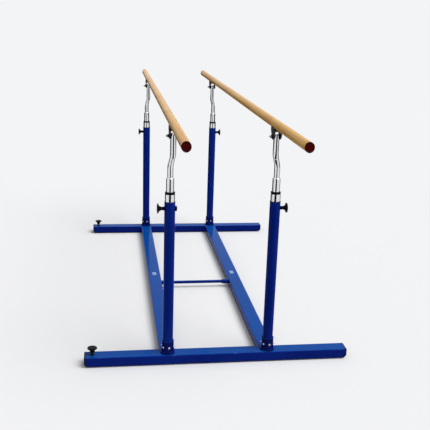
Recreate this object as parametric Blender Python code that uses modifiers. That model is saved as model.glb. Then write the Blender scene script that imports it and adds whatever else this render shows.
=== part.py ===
"""Free-standing gymnastics parallel bars with telescopic uprights.

Two wooden bars stand on four uprights over a welded base of rectangular tube.  Each upright is a
painted post with a chromed tube sliding in it.  A bent, slotted neck on that tube carries the bar's
yoke on a cross bolt.  Metres, +Z up, +Y along the bars, origin on the floor under the middle.
"""
import math

import bmesh
import bpy
from mathutils import Matrix

# Layout
UPRIGHT_SPACING = 0.530        # between post centres, across the bars
UPRIGHT_PITCH = 2.300          # between post centres, along the bars
NECK_OFFSET = 0.012            # how far each bar runs inside its posts
BAR_LENGTH = 3.500             # over the end caps

# Base of rectangular tube
BEAM_WIDTH = 0.080
BEAM_HEIGHT = 0.050
BEAM_WALL = 0.003
BEAM_CORNER = 0.005            # outer corner radius of the tube
CROSS_BEAM_LENGTH = 1.390      # over the end caps
END_CUT = 0.016                # 45 degree cut under each end of a cross beam
END_CAP_THICKNESS = 0.006
END_CAP_PLUG = 0.018           # how far a cap reaches into its tube
BRACE_OFFSET = -0.110          # along Y from the middle
BRACE_RADIUS = 0.010
BRACE_BORE_RADIUS = 0.0075
BRACE_SLEEVE_RADIUS = 0.014
BRACE_SLEEVE_LENGTH = 0.044
BRACE_DROP = 0.004             # of the sleeve below the beam tops

# Feet and levelling screws
FOOT_HEIGHT = 0.006            # floor to the underside of the beams
FOOT_RADIUS = 0.024
FOOT_INSET = 0.042             # foot centre from the end of the beam
FOOT_SOCKET_DEPTH = 0.0035     # seat of the levelling screw in its foot
LEVELLER_RADIUS = 0.006
LEVELLER_TRAVEL = 0.008
LEVELLER_BUSH_RADIUS = 0.011
LEVELLER_BUSH_PROUD = 0.008    # bush above the beam top

# Sockets and posts, with heights above the beam tops
SOCKET_HEIGHT = 0.070
SOCKET_WALL = 0.0045           # at the rim
SOCKET_FLANGE_RADIUS = 0.0375
SOCKET_FLANGE_HEIGHT = 0.008
POST_LENGTH = 0.812
POST_RADIUS = 0.027
POST_WALL = 0.0025
BOSS_RADIUS = 0.0095
BOSS_LENGTH = 0.010            # outside the post
STUD_POST = "front_left"       # the one post with a blank stud on its inner side
STUD_RADIUS = 0.0135
STUD_LENGTH = 0.009            # outside the post
CLAMP_DROP = 0.033             # clamp screw axis below the post top
CLAMP_RADIUS = 0.005
COLLAR_RADIUS = 0.0248
COLLAR_HEIGHT = 0.040
COLLAR_SPIGOT = 0.008          # how far the collar reaches into the post
RING_RADIUS = 0.0250
RING_HEIGHT = 0.012
RING_ROUND = 0.004

# Hand knob, the same moulding on clamp and levelling screws
KNOB_RADIUS = 0.025
KNOB_LENGTH = 0.026
KNOB_NECK_RADIUS = 0.0085
KNOB_RIM = 0.004
KNOB_CROWN = 0.003

# Telescopic tubes, set at the height in the photograph
TUBE_RADIUS = 0.0195
TUBE_WALL = 0.003
TUBE_LENGTH = 0.800
TUBE_PROUD = 0.070             # tube top above its guide ring
TUBE_CHAMFER = 0.002
GUIDE_LAND = 0.030             # wide lower end that runs in the post

# Necks
NECK_RADIUS = 0.0145
NECK_SEAT = 0.040              # length held in the tube
NECK_STRAIGHT = 0.050          # above the tube, before the bend
NECK_BEND = 0.075              # height over which the neck moves inwards
NECK_HEAD = 0.081              # bend end to pivot
HEAD_TOP = 0.012               # above the pivot
SLOT_WIDTH = 0.006
SLOT_DEPTH = 0.110             # below the pivot, to the relief hole
RELIEF_RADIUS = 0.0045

# Yokes and pivot bolts
PIVOT_DROP = 0.058             # pivot below the bar centre
PIVOT_RADIUS = 0.005
CHEEK_THICKNESS = 0.006
CHEEK_RADIUS = 0.015           # round lower end about the pivot
YOKE_LENGTH = 0.080            # along the bar
YOKE_RIM_DROP = 0.012          # cradle rim below the bar centre
YOKE_RIM_HEIGHT = 0.018        # straight ends of the cradle
YOKE_WEB = 0.006               # least thickness under the bar
BOLT_HEAD_RADIUS = 0.0085
BOLT_HEAD_LENGTH = 0.006
BOLT_NUT_LENGTH = 0.008
BOLT_END_LENGTH = 0.008        # thread past the nut

# Bars
BAR_WIDTH = 0.042
BAR_DEPTH = 0.046
BAR_CORE_RADIUS = 0.008
BAR_CAP_THICKNESS = 0.006
BAR_CAP_ROUND = 0.0015

# Clearances
SEAT_GAP = 0.0003              # between pieces that are fixed together
RUNNING_GAP = 0.0004           # round turning pieces
GUIDE_GAP = 0.0008             # round the sliding tubes

# Facets
ROUND_STEPS = 20               # posts, tubes and bars
KNOB_STEPS = 16                # knobs, feet and holes
BOLT_STEPS = 12
NECK_STEPS = 8                 # along the bend
NECK_RESOLUTION = 6            # round the neck
ARC_STEPS = 3
FLARE_STEPS = 4                # sockets and knobs

BEAM_TOP = FOOT_HEIGHT + BEAM_HEIGHT
TUBE_TOP = POST_LENGTH + COLLAR_HEIGHT + RING_HEIGHT + TUBE_PROUD + 2 * SEAT_GAP
PIVOT_HEIGHT = TUBE_TOP + NECK_STRAIGHT + NECK_BEND + NECK_HEAD
BAR_SPACING = UPRIGHT_SPACING - 2 * NECK_OFFSET
BEAM_END = CROSS_BEAM_LENGTH / 2 - END_CAP_THICKNESS - SEAT_GAP
SIDES = {"left": -1, "right": 1}
ENDS = {"front": -1, "rear": 1}

for old in list(bpy.data.objects):
    bpy.data.objects.remove(old, do_unlink=True)

PARTS = bpy.data.collections.new("parallel_bars")
CUTTERS = bpy.data.collections.new("cutters")
for collection in (PARTS, CUTTERS):
    bpy.context.scene.collection.children.link(collection)


def finish(name, colour, roughness, metallic=0.0):
    """A material with the photographed colour of one kind of piece."""
    material = bpy.data.materials.new(name)
    material.use_nodes = True
    shader = material.node_tree.nodes["Principled BSDF"]
    shader.inputs["Base Color"].default_value = (*colour, 1.0)
    shader.inputs["Roughness"].default_value = roughness
    shader.inputs["Metallic"].default_value = metallic
    return material


BLUE_PAINT = finish("blue_paint", (0.010, 0.030, 0.230), 0.25)
CHROME = finish("chrome", (0.75, 0.76, 0.78), 0.12, 1.0)
BLACK_STEEL = finish("black_steel", (0.015, 0.015, 0.017), 0.40)
BLACK_PLASTIC = finish("black_plastic", (0.010, 0.010, 0.011), 0.45)
WOOD = finish("bar_wood", (0.560, 0.320, 0.150), 0.45)
FIBREGLASS = finish("fibreglass", (0.55, 0.57, 0.45), 0.50)
RED_RUBBER = finish("red_rubber", (0.060, 0.004, 0.006), 0.55)
BLACK_RUBBER = finish("black_rubber", (0.020, 0.020, 0.021), 0.80)


def empty(name, location, parent=None):
    """A reference point that pieces are parented to."""
    point = bpy.data.objects.new(name, None)
    point.location = location
    point.parent = parent
    point.empty_display_size = 0.05
    PARTS.objects.link(point)
    return point


def piece(name, mesh, material, parent=None, location=(0, 0, 0), rotation=(0, 0, 0)):
    """One solid of the object."""
    solid = bpy.data.objects.new(name, mesh)
    mesh.materials.clear()
    mesh.materials.append(material)
    solid.location = location
    solid.rotation_euler = rotation
    solid.parent = parent
    PARTS.objects.link(solid)
    return solid


def tool(name, mesh, owner, location=(0, 0, 0), rotation=(0, 0, 0)):
    """A hidden solid that is cut from its owner or joined to it, placed in the owner's frame."""
    body = bpy.data.objects.new(name, mesh)
    body.location = location
    body.rotation_euler = rotation
    body.parent = owner
    body.hide_render = True
    body.display_type = "WIRE"
    CUTTERS.objects.link(body)
    return body


def combine(owner, other, operation):
    """A Boolean of the owner with a tool: DIFFERENCE, UNION or INTERSECT."""
    boolean = owner.modifiers.new(other.name, "BOOLEAN")
    boolean.operation = operation
    boolean.object = other
    boolean.solver = "EXACT"


def smooth(mesh):
    """Smooth shading on round faces, with sharp edges kept."""
    mesh.shade_smooth()
    mesh.set_sharp_from_angle(angle=math.radians(35))
    return mesh


def box_mesh(name, size):
    """A box about its own centre."""
    form = bmesh.new()
    bmesh.ops.create_cube(form, size=1.0)
    bmesh.ops.scale(form, vec=size, verts=form.verts)
    mesh = bpy.data.meshes.new(name)
    form.to_mesh(mesh)
    form.free()
    return mesh


def rod_mesh(name, radius, low, high, steps=ROUND_STEPS):
    """A solid cylinder along Z, from low to high."""
    form = bmesh.new()
    middle = Matrix.Translation((0, 0, (low + high) / 2))
    bmesh.ops.create_cone(form, cap_ends=True, segments=steps, radius1=radius, radius2=radius,
                          depth=high - low, matrix=middle)
    mesh = bpy.data.meshes.new(name)
    form.to_mesh(mesh)
    form.free()
    return smooth(mesh)


def turned(name, profile, material, parent=None, location=(0, 0, 0), rotation=(0, 0, 0), closed=False,
           steps=ROUND_STEPS):
    """A turned piece: radius and height pairs down the outer side, spun about Z.

    A closed profile runs on up its bore, and an open one starts and ends on the axis.
    """
    points = [(radius, 0.0, height) for radius, height in profile]
    edges = [(i, i + 1) for i in range(len(points) - 1)]
    if closed:
        edges.append((len(points) - 1, 0))
    mesh = bpy.data.meshes.new(name)
    mesh.from_pydata(points, edges, [])
    solid = piece(name, mesh, material, parent, location, rotation)
    spin = solid.modifiers.new("spin", "SCREW")
    spin.steps = steps
    spin.render_steps = steps
    spin.use_merge_vertices = True
    spin.merge_threshold = 0.00001
    spin.use_smooth_shade = True
    return solid


def arc(centre, radius, start, end, steps=ARC_STEPS):
    """Points of a circular arc in a plane, angles in degrees."""
    angles = [math.radians(start + (end - start) * i / steps) for i in range(steps + 1)]
    return [(centre[0] + radius * math.cos(a), centre[1] + radius * math.sin(a)) for a in angles]


def rounded_rectangle(width, height, radius):
    """Outline of a rectangle with round corners, about its centre."""
    x, y = width / 2 - radius, height / 2 - radius
    corners = ((x, y, 0), (-x, y, 90), (-x, -y, 180), (x, -y, 270))
    return [point for cx, cy, start in corners for point in arc((cx, cy), radius, start, start + 90)]


def solid_outline(name, outlines, depth):
    """A mesh from flat outlines in the XY plane, extruded to a depth about that plane."""
    curve = bpy.data.curves.new(name, "CURVE")
    curve.dimensions = "2D"
    curve.fill_mode = "BOTH"
    curve.extrude = depth / 2
    for outline in outlines:
        spline = curve.splines.new("POLY")
        spline.points.add(len(outline) - 1)
        for point, (x, y) in zip(spline.points, outline):
            point.co = (x, y, 0.0, 1.0)
        spline.use_cyclic_u = True
    return mesh_of_curve(name, curve)


def mesh_of_curve(name, curve):
    """A closed mesh of a curve's surface, with its caps welded on."""
    source = bpy.data.objects.new(name, curve)
    CUTTERS.objects.link(source)
    bpy.context.view_layer.update()
    evaluated = source.evaluated_get(bpy.context.evaluated_depsgraph_get())
    mesh = bpy.data.meshes.new_from_object(evaluated)
    bpy.data.objects.remove(source, do_unlink=True)
    form = bmesh.new()
    form.from_mesh(mesh)
    bmesh.ops.remove_doubles(form, verts=form.verts, dist=0.00001)
    bmesh.ops.recalc_face_normals(form, faces=form.faces)
    form.to_mesh(mesh)
    form.free()
    mesh.name = name
    return smooth(mesh)


ALONG_X = (math.pi / 2, 0, math.pi / 2)      # local X to Y, Y to Z, Z to X
ALONG_Y = (math.pi / 2, 0, math.pi)          # local X to -X, Y to Z, Z to Y


def beam_mesh(name, length):
    """Rectangular tube along Z, its width along X and its height along Y."""
    outer = rounded_rectangle(BEAM_WIDTH, BEAM_HEIGHT, BEAM_CORNER)
    inner = rounded_rectangle(BEAM_WIDTH - 2 * BEAM_WALL, BEAM_HEIGHT - 2 * BEAM_WALL,
                              BEAM_CORNER - BEAM_WALL)
    return solid_outline(name, [outer, inner], length)


def cross_beam(end, parent):
    """Cross beam with its lower end corners cut away and a threaded bush for the levelling screw."""
    name = f"{end}_cross_beam"
    beam = piece(name, beam_mesh(name, 2 * BEAM_END), BLUE_PAINT, parent, rotation=ALONG_X)
    foot = CROSS_BEAM_LENGTH / 2 - FOOT_INSET
    inside = BEAM_HEIGHT / 2 - BEAM_WALL / 2
    level = (math.pi / 2, 0, 0)
    bush_top = BEAM_HEIGHT / 2 + LEVELLER_BUSH_PROUD
    bush = rod_mesh(f"{name}_bush", LEVELLER_BUSH_RADIUS, -bush_top, inside, KNOB_STEPS)
    combine(beam, tool(bush.name, bush, beam, (0, 0, -foot), level), "UNION")
    hole = rod_mesh(f"{name}_hole", LEVELLER_RADIUS + RUNNING_GAP, -BEAM_HEIGHT, BEAM_HEIGHT, KNOB_STEPS)
    combine(beam, tool(hole.name, hole, beam, (0, 0, -foot), level), "DIFFERENCE")
    side = END_CUT * math.sqrt(2)
    for direction in (-1, 1):
        wedge = box_mesh(f"{name}_cut", (2 * BEAM_WIDTH, side, side))
        place = (0, -BEAM_HEIGHT / 2, direction * BEAM_END)
        combine(beam, tool(wedge.name, wedge, beam, place, (math.pi / 4, 0, 0)), "DIFFERENCE")
    return beam


def end_cap(end, side, parent):
    """Bent plastic cap that covers the cut end of a cross beam, with a plug in the tube."""
    name = f"{end}_{side}_end_cap"
    low, high = -BEAM_HEIGHT / 2, BEAM_HEIGHT / 2
    knee = low + END_CUT

    def bend(offset):
        """Upper end, knee and lower end of a line that runs round the cut end at an offset."""
        skew = offset * math.sqrt(2)
        return [(offset, high), (offset, knee + offset - skew), (skew - END_CUT, low)]

    outline = bend(SEAT_GAP) + bend(SEAT_GAP + END_CAP_THICKNESS)[::-1]
    turn = 0 if SIDES[side] > 0 else math.pi
    cap = piece(name, solid_outline(name, [outline], BEAM_WIDTH), BLACK_PLASTIC, parent,
                (SIDES[side] * BEAM_END, 0, 0), (math.pi / 2, 0, turn))
    overlap = END_CAP_THICKNESS / 2
    plug_top = high - BEAM_WALL - SEAT_GAP
    plug_low = knee + SEAT_GAP
    plug = box_mesh(f"{name}_plug", (END_CAP_PLUG + overlap, plug_top - plug_low,
                                     BEAM_WIDTH - 2 * (BEAM_WALL + BEAM_CORNER)))
    place = ((overlap - END_CAP_PLUG) / 2, (plug_top + plug_low) / 2, 0)
    combine(cap, tool(plug.name, plug, cap, place), "UNION")
    return cap


def long_beam(side, parent):
    """Long beam butted between the cross beams."""
    name = f"{side}_long_beam"
    length = UPRIGHT_PITCH - BEAM_WIDTH - 2 * SEAT_GAP
    return piece(name, beam_mesh(name, length), BLUE_PAINT, parent,
                 (SIDES[side] * UPRIGHT_SPACING / 2, 0, 0), ALONG_Y)


def brace(parent):
    """Tubular brace with a thicker sleeve at each end, between the long beams."""
    half = (UPRIGHT_SPACING - BEAM_WIDTH) / 2 - SEAT_GAP
    neck = half - BRACE_SLEEVE_LENGTH
    profile = [(BRACE_SLEEVE_RADIUS, half), (BRACE_SLEEVE_RADIUS, neck), (BRACE_RADIUS, neck),
               (BRACE_RADIUS, -neck), (BRACE_SLEEVE_RADIUS, -neck), (BRACE_SLEEVE_RADIUS, -half),
               (BRACE_BORE_RADIUS, -half), (BRACE_BORE_RADIUS, half)]
    height = BEAM_HEIGHT / 2 - BRACE_DROP - BRACE_SLEEVE_RADIUS
    return turned("centre_brace", profile, BLUE_PAINT, parent, (0, BRACE_OFFSET, height),
                  (0, math.pi / 2, 0), closed=True, steps=KNOB_STEPS)


def fixed_foot(end, parent):
    """Rubber pad under the right end of a cross beam."""
    top = FOOT_HEIGHT - SEAT_GAP
    edge = top / 4
    profile = [(0, top), (FOOT_RADIUS - edge, top), (FOOT_RADIUS, top - edge), (FOOT_RADIUS, 0), (0, 0)]
    return turned(f"{end}_right_foot", profile, BLACK_RUBBER, parent, steps=KNOB_STEPS)


def knob_profile(base):
    """Trumpet-shaped hand knob from its crown down to its neck, whose foot is at the given height."""
    top = base + KNOB_LENGTH
    brim = top - KNOB_CROWN
    under = brim - KNOB_RIM
    angles = [i / FLARE_STEPS * math.pi / 2 for i in range(1, FLARE_STEPS)]
    throat = [(KNOB_RADIUS - (KNOB_RADIUS - KNOB_NECK_RADIUS) * math.sin(a),
               base + (under - base) * math.cos(a)) for a in angles]
    crown = [(0, top), (KNOB_RADIUS - KNOB_RIM, top - KNOB_CROWN / 2)]
    rim = [(KNOB_RADIUS, brim), (KNOB_RADIUS, under)]
    return crown + rim + throat + [(KNOB_NECK_RADIUS, base)]


def leveller(end, point):
    """Levelling screw with its knob above the beam, and the foot that its tip turns in."""
    top = FOOT_HEIGHT - SEAT_GAP
    edge = top / 4
    seat = top - FOOT_SOCKET_DEPTH
    hole = LEVELLER_RADIUS + RUNNING_GAP
    foot = [(hole, top), (FOOT_RADIUS - edge, top), (FOOT_RADIUS, top - edge), (FOOT_RADIUS, 0), (0, 0)]
    turned(f"{end}_left_foot", [(0, seat), (hole, seat)] + foot, BLACK_RUBBER, point, steps=KNOB_STEPS)
    knob = knob_profile(BEAM_TOP + LEVELLER_BUSH_PROUD + LEVELLER_TRAVEL + RUNNING_GAP)
    shank = [(LEVELLER_RADIUS, knob[-1][1]), (LEVELLER_RADIUS, seat + SEAT_GAP), (0, seat + SEAT_GAP)]
    turned(f"{end}_levelling_screw", knob + shank, BLACK_PLASTIC, point, steps=KNOB_STEPS)


def socket(name, upright):
    """Flared, flanged shoe round the foot of a post."""
    bore = POST_RADIUS + SEAT_GAP
    rim = bore + SOCKET_WALL
    foot = SOCKET_FLANGE_RADIUS - rim
    rise = SOCKET_HEIGHT - SOCKET_FLANGE_HEIGHT
    angles = [i / FLARE_STEPS * math.pi / 2 for i in range(FLARE_STEPS + 1)]
    flare = [(rim + foot * (1 - math.cos(a)) ** 1.6, SOCKET_HEIGHT - rise * math.sin(a)) for a in angles]
    profile = flare + [(SOCKET_FLANGE_RADIUS, SEAT_GAP), (bore, SEAT_GAP), (bore, SOCKET_HEIGHT)]
    return turned(f"{name}_socket", profile, BLUE_PAINT, upright, closed=True)


def post(name, outward, upright):
    """Painted post tube with a drilled boss for the clamp screw on its outer side."""
    solid = piece(f"{name}_post", rod_mesh(f"{name}_post", POST_RADIUS, SEAT_GAP, POST_LENGTH), BLUE_PAINT,
                  upright)
    clamp = (0, 0, POST_LENGTH - CLAMP_DROP)
    sideways = (0, outward * math.pi / 2, 0)
    bore_radius = POST_RADIUS - POST_WALL
    boss = rod_mesh(f"{name}_boss", BOSS_RADIUS, bore_radius / 2, POST_RADIUS + BOSS_LENGTH, KNOB_STEPS)
    combine(solid, tool(boss.name, boss, solid, clamp, sideways), "UNION")
    if name == STUD_POST:
        stud_end = POST_RADIUS + STUD_LENGTH
        stud = rod_mesh(f"{name}_stud", STUD_RADIUS, bore_radius / 2, stud_end, KNOB_STEPS)
        inwards = (0, -outward * math.pi / 2, 0)
        combine(solid, tool(stud.name, stud, solid, clamp, inwards), "UNION")
    bore = rod_mesh(f"{name}_bore", bore_radius, -POST_LENGTH, 2 * POST_LENGTH)
    combine(solid, tool(bore.name, bore, solid), "DIFFERENCE")
    hole = rod_mesh(f"{name}_tapping", CLAMP_RADIUS + RUNNING_GAP, 0, POST_RADIUS + 2 * BOSS_LENGTH,
                    KNOB_STEPS)
    combine(solid, tool(hole.name, hole, solid, clamp, sideways), "DIFFERENCE")
    return solid


def guides(name, upright):
    """Chromed collar in the post top, and the black guide ring on it."""
    bore = TUBE_RADIUS + GUIDE_GAP
    base = POST_LENGTH + SEAT_GAP
    top = base + COLLAR_HEIGHT
    spigot = POST_RADIUS - POST_WALL - SEAT_GAP
    collar = [(COLLAR_RADIUS, top), (COLLAR_RADIUS, base), (spigot, base), (spigot, base - COLLAR_SPIGOT),
              (bore, base - COLLAR_SPIGOT), (bore, top)]
    turned(f"{name}_collar", collar, CHROME, upright, closed=True)
    low = top + SEAT_GAP
    high = low + RING_HEIGHT
    edge = RING_RADIUS - RING_ROUND
    shoulder = [(r, z) for r, z in reversed(arc((edge, high - RING_ROUND), RING_ROUND, 0, 90, ARC_STEPS))]
    ring = shoulder + [(RING_RADIUS, low), (bore, low), (bore, high)]
    turned(f"{name}_guide_ring", ring, BLACK_PLASTIC, upright, closed=True)


def clamp_screw(name, outward, upright):
    """Hand screw through the boss, its tip just off the sliding tube."""
    tip = TUBE_RADIUS + GUIDE_GAP / 2
    knob = knob_profile(POST_RADIUS + BOSS_LENGTH + RUNNING_GAP)
    shank = [(CLAMP_RADIUS, knob[-1][1]), (CLAMP_RADIUS, tip), (0, tip)]
    return turned(f"{name}_clamp_screw", knob + shank, BLACK_PLASTIC, upright,
                  (0, 0, POST_LENGTH - CLAMP_DROP), (0, outward * math.pi / 2, 0), steps=KNOB_STEPS)


def inner_tube(name, piston):
    """Chromed sliding tube, wide at its lower end and drawn in at its top to hold the neck."""
    seat = NECK_RADIUS + SEAT_GAP
    bore = TUBE_RADIUS - TUBE_WALL
    land = POST_RADIUS - POST_WALL - GUIDE_GAP
    taper = land - TUBE_RADIUS
    profile = [(TUBE_RADIUS - TUBE_CHAMFER, 0), (TUBE_RADIUS, -TUBE_CHAMFER),
               (TUBE_RADIUS, GUIDE_LAND + taper - TUBE_LENGTH), (land, GUIDE_LAND - TUBE_LENGTH),
               (land, -TUBE_LENGTH), (bore, -TUBE_LENGTH), (bore, -NECK_SEAT - SEAT_GAP),
               (seat, -NECK_SEAT - SEAT_GAP), (seat, 0)]
    return turned(f"{name}_inner_tube", profile, CHROME, piston, closed=True)


def neck(name, inward, piston):
    """Chromed neck: bent inwards, slotted through its head and cross drilled for the pivot bolt."""
    bend_end = NECK_STRAIGHT + NECK_BEND
    pivot = bend_end + NECK_HEAD
    shift = inward * NECK_OFFSET
    shares = [i / NECK_STEPS for i in range(NECK_STEPS + 1)]
    sweep = [(shift * (1 - math.cos(math.pi * t)) / 2, NECK_STRAIGHT + NECK_BEND * t) for t in shares]
    path = [(0, -NECK_SEAT)] + sweep + [(shift, pivot + HEAD_TOP)]
    curve = bpy.data.curves.new(f"{name}_neck", "CURVE")
    curve.dimensions = "3D"
    curve.bevel_depth = NECK_RADIUS
    curve.bevel_resolution = NECK_RESOLUTION
    curve.use_fill_caps = True
    spline = curve.splines.new("POLY")
    spline.points.add(len(path) - 1)
    for point, (x, z) in zip(spline.points, path):
        point.co = (x, 0.0, z, 1.0)
    solid = piece(f"{name}_neck", mesh_of_curve(f"{name}_neck", curve), CHROME, piston)
    reach = 2 * NECK_RADIUS
    slot = box_mesh(f"{name}_slot", (SLOT_WIDTH, 2 * reach, SLOT_DEPTH + 2 * HEAD_TOP))
    slot_middle = pivot + HEAD_TOP - SLOT_DEPTH / 2
    combine(solid, tool(slot.name, slot, solid, (shift, 0, slot_middle)), "DIFFERENCE")
    relief = rod_mesh(f"{name}_relief", RELIEF_RADIUS, -reach, reach, KNOB_STEPS)
    relief_place = (shift, 0, pivot - SLOT_DEPTH)
    combine(solid, tool(relief.name, relief, solid, relief_place, (math.pi / 2, 0, 0)), "DIFFERENCE")
    hole = rod_mesh(f"{name}_pivot_hole", PIVOT_RADIUS + RUNNING_GAP, -reach, reach, BOLT_STEPS)
    combine(solid, tool(hole.name, hole, solid, (shift, 0, pivot), (0, math.pi / 2, 0)), "DIFFERENCE")
    return solid


def bar_outline(margin=0.0):
    """Oval section of a bar, width along X and depth along Y."""
    angles = [2 * math.pi * i / ROUND_STEPS for i in range(ROUND_STEPS)]
    return [((BAR_WIDTH / 2 + margin) * math.cos(a), (BAR_DEPTH / 2 + margin) * math.sin(a)) for a in angles]


def bar(side, point):
    """Wooden bar with a reinforcing core and a cap at each end."""
    name = f"{side}_bar"
    length = BAR_LENGTH - 2 * (BAR_CAP_THICKNESS + SEAT_GAP)
    wood = piece(name, solid_outline(name, [bar_outline()], length), WOOD, point, rotation=ALONG_Y)
    bore = rod_mesh(f"{name}_bore", BAR_CORE_RADIUS + SEAT_GAP, -length, length, KNOB_STEPS)
    combine(wood, tool(bore.name, bore, wood), "DIFFERENCE")
    core = rod_mesh(f"{name}_core", BAR_CORE_RADIUS, -length / 2, length / 2, KNOB_STEPS)
    piece(core.name, core, FIBREGLASS, point, rotation=ALONG_Y)
    for end, direction in ENDS.items():
        cap_name = f"{end}_{name}_cap"
        cap = piece(cap_name, solid_outline(cap_name, [bar_outline()], BAR_CAP_THICKNESS), RED_RUBBER, point,
                    (0, direction * (BAR_LENGTH - BAR_CAP_THICKNESS) / 2, 0), ALONG_Y)
        rounding = cap.modifiers.new("rounding", "BEVEL")
        rounding.width = BAR_CAP_ROUND
        rounding.segments = 1
        rounding.limit_method = "ANGLE"
        rounding.angle_limit = math.radians(60)


def yoke(name, point):
    """U-shaped yoke with a cradle for the bar and two cheeks on the pivot, about the pivot."""
    gap = NECK_RADIUS + RUNNING_GAP
    outer = gap + CHEEK_THICKNESS
    rim = PIVOT_DROP - YOKE_RIM_DROP
    web = PIVOT_DROP - BAR_DEPTH / 2 - SEAT_GAP - YOKE_WEB
    section = [(outer, rim), (-outer, rim), (-outer, -CHEEK_RADIUS), (-gap, -CHEEK_RADIUS), (-gap, web),
               (gap, web), (gap, -CHEEK_RADIUS), (outer, -CHEEK_RADIUS)]
    solid = piece(f"{name}_yoke", solid_outline(f"{name}_yoke", [section], YOKE_LENGTH), BLACK_STEEL, point,
                  rotation=ALONG_Y)
    seat = solid_outline(f"{name}_seat", [bar_outline(SEAT_GAP)], 2 * YOKE_LENGTH)
    combine(solid, tool(seat.name, seat, solid, (0, PIVOT_DROP, 0)), "DIFFERENCE")
    half = YOKE_LENGTH / 2
    profile = arc((0, 0), CHEEK_RADIUS, 180, 360, 4 * ARC_STEPS)
    cradle = rim - YOKE_RIM_HEIGHT
    profile += [(half, cradle), (half, 2 * rim), (-half, 2 * rim), (-half, cradle)]
    sides = solid_outline(f"{name}_sides", [profile], 4 * outer)
    combine(solid, tool(sides.name, sides, solid, rotation=(0, math.pi / 2, 0)), "INTERSECT")
    hole = rod_mesh(f"{name}_hole", PIVOT_RADIUS + SEAT_GAP, -2 * outer, 2 * outer, BOLT_STEPS)
    combine(solid, tool(hole.name, hole, solid, rotation=(0, math.pi / 2, 0)), "DIFFERENCE")
    return solid


def pivot_bolt(name, point):
    """Cross bolt of a yoke with its head, nut and thread end, nut towards the left."""
    cheek = NECK_RADIUS + RUNNING_GAP + CHEEK_THICKNESS + SEAT_GAP
    head = cheek + BOLT_HEAD_LENGTH
    nut = -cheek - BOLT_NUT_LENGTH
    end = nut - BOLT_END_LENGTH
    crown = BOLT_HEAD_LENGTH / 3
    profile = [(0, head), (BOLT_HEAD_RADIUS - crown, head), (BOLT_HEAD_RADIUS, head - crown),
               (BOLT_HEAD_RADIUS, cheek), (PIVOT_RADIUS, cheek), (PIVOT_RADIUS, -cheek),
               (BOLT_HEAD_RADIUS, -cheek), (BOLT_HEAD_RADIUS, nut + crown), (BOLT_HEAD_RADIUS - crown, nut),
               (PIVOT_RADIUS, nut), (PIVOT_RADIUS, end), (0, end)]
    return turned(f"{name}_pivot_bolt", profile, BLACK_STEEL, point, rotation=(0, math.pi / 2, 0),
                  steps=BOLT_STEPS)


def base():
    """Welded base with its caps and feet."""
    for end, direction in ENDS.items():
        row = empty(f"{end}_row", (0, direction * UPRIGHT_PITCH / 2, FOOT_HEIGHT + BEAM_HEIGHT / 2))
        cross_beam(end, row)
        foot = CROSS_BEAM_LENGTH / 2 - FOOT_INSET
        floor = -FOOT_HEIGHT - BEAM_HEIGHT / 2
        fixed_foot(end, empty(f"{end}_right_foot_point", (foot, 0, floor), row))
        leveller(end, empty(f"{end}_leveller_axis", (-foot, 0, floor), row))
        for side in SIDES:
            end_cap(end, side, row)
    middle = empty("base_middle", (0, 0, FOOT_HEIGHT + BEAM_HEIGHT / 2))
    for side in SIDES:
        long_beam(side, middle)
    brace(middle)


def upright(end, side):
    """One telescopic upright, from its socket to the neck that carries the bar."""
    name = f"{end}_{side}"
    outward = SIDES[side]
    foot = empty(f"{name}_upright", (outward * UPRIGHT_SPACING / 2, ENDS[end] * UPRIGHT_PITCH / 2, BEAM_TOP))
    socket(name, foot)
    post(name, outward, foot)
    guides(name, foot)
    clamp_screw(name, outward, foot)
    piston = empty(f"{name}_piston", (0, 0, TUBE_TOP), foot)
    inner_tube(name, piston)
    neck(name, -outward, piston)


def bar_assembly(side):
    """One bar with its two yokes and their pivot bolts."""
    centre = (SIDES[side] * BAR_SPACING / 2, 0, BEAM_TOP + PIVOT_HEIGHT + PIVOT_DROP)
    middle = empty(f"{side}_bar_middle", centre)
    bar(side, middle)
    for end, direction in ENDS.items():
        name = f"{end}_{side}"
        pivot = empty(f"{name}_pivot", (0, direction * UPRIGHT_PITCH / 2, -PIVOT_DROP), middle)
        yoke(name, pivot)
        pivot_bolt(name, pivot)


base()
for side_name in SIDES:
    for end_name in ENDS:
        upright(end_name, side_name)
    bar_assembly(side_name)
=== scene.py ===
"""The looks of a pair of gymnastics parallel bars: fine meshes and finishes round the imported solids."""
import math

import bmesh
import bpy
from mathutils import Euler, Matrix, Vector


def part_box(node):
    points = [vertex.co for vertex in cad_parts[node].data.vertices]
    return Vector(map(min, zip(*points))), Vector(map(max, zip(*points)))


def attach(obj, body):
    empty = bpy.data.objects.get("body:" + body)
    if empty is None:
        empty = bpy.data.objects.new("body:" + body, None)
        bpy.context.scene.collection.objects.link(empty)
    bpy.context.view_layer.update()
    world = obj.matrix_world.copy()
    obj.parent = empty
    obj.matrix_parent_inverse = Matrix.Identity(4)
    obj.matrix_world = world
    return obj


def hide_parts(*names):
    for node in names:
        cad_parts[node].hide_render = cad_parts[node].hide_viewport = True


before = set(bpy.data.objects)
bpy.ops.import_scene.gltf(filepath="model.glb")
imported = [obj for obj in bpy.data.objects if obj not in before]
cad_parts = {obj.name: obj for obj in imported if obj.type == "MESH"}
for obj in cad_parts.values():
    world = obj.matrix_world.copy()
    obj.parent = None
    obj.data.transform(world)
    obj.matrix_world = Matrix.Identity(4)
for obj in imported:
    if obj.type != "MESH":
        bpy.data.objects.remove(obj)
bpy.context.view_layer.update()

# Camera
# It stands at head height in front of the bars, a little to their left, and looks down along them.
# The frame is tipped by two degrees, as in the photograph.
CAMERA_PLACE = Vector((-0.5527, -4.5455, 1.7775))
CAMERA_PITCH = 0.27742         # radians below the horizon
CAMERA_YAW = 0.15027           # radians to the right of the bars' length
CAMERA_ROLL = 0.03331
CAMERA_LENS = 59.93            # mm
FRAME_WIDTH = 36.0             # mm

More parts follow.
